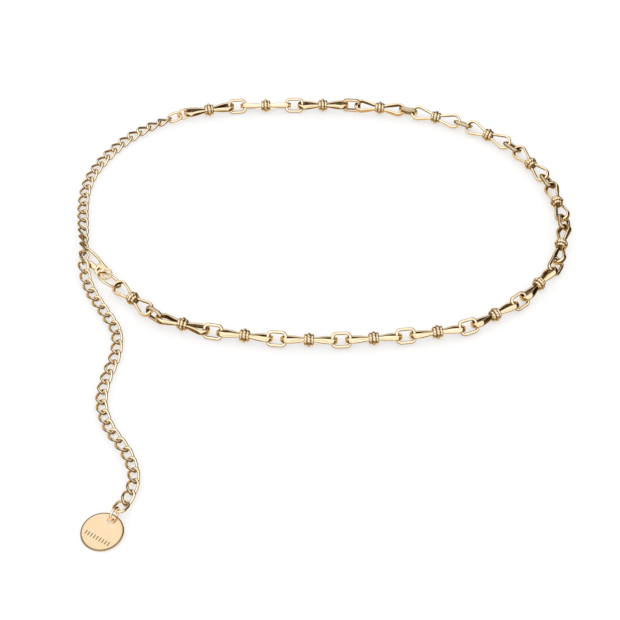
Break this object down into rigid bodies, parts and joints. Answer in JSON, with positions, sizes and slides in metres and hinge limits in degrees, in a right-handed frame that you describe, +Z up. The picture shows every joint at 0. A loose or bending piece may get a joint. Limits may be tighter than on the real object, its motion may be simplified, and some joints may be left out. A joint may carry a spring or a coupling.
{
  "type": "waist chain",
  "caption": "Chain belt of bow-shaped knot links and rounded-rectangle links, closed by a lobster clasp on a twisted curb chain with a free tail and a round disc.",
  "frame": {"origin": "middle of the waist loop, on the surface that it lies on", "axes": "+X to the right as the picture shows it, +Y away from the viewer and away from the free tail, +Z up"},
  "size_m": [0.2684, 0.3088, 0.0094],
  "materials": {
    "gold": "polished"
  },
  "bodies": {
    "chain": {"knot_link_01": "gold", "knot_link_02": "gold", "knot_link_03": "gold", "knot_link_04": "gold", "knot_link_05": "gold", "knot_link_06": "gold", "knot_link_07": "gold", "knot_link_08": "gold", "knot_link_09": "gold", "knot_link_10": "gold", "knot_link_11": "gold", "knot_link_12": "gold", "knot_link_13": "gold", "knot_link_14": "gold", "knot_link_15": "gold", "knot_link_16": "gold", "knot_link_17": "gold", "connector_01": "gold", "connector_02": "gold", "connector_03": "gold", "connector_04": "gold", "connector_05": "gold", "connector_06": "gold", "connector_07": "gold", "connector_08": "gold", "connector_09": "gold", "connector_10": "gold", "connector_11": "gold", "connector_12": "gold", "connector_13": "gold", "connector_14": "gold", "connector_15": "gold", "connector_16": "gold", "start_ring": "gold", "start_link": "gold", "curb_chain": "gold", "tail_chain": "gold", "end_link": "gold", "tag_ring": "gold", "tag_disc": "gold", "clasp_ring": "gold", "clasp_body": "gold"},
    "lever": {"clasp_lever": "gold"}
  },
  "joints": [
    {"name": "lever_hinge", "type": "hinge", "parent": "chain", "child": "lever", "pos_m": [-0.11675, -0.04081, 0.00216], "axis": [0.3224, 0.2878, -0.9018], "range_deg": [0, 12], "stiffness_Nm_per_rad": 0.002}
  ]
}
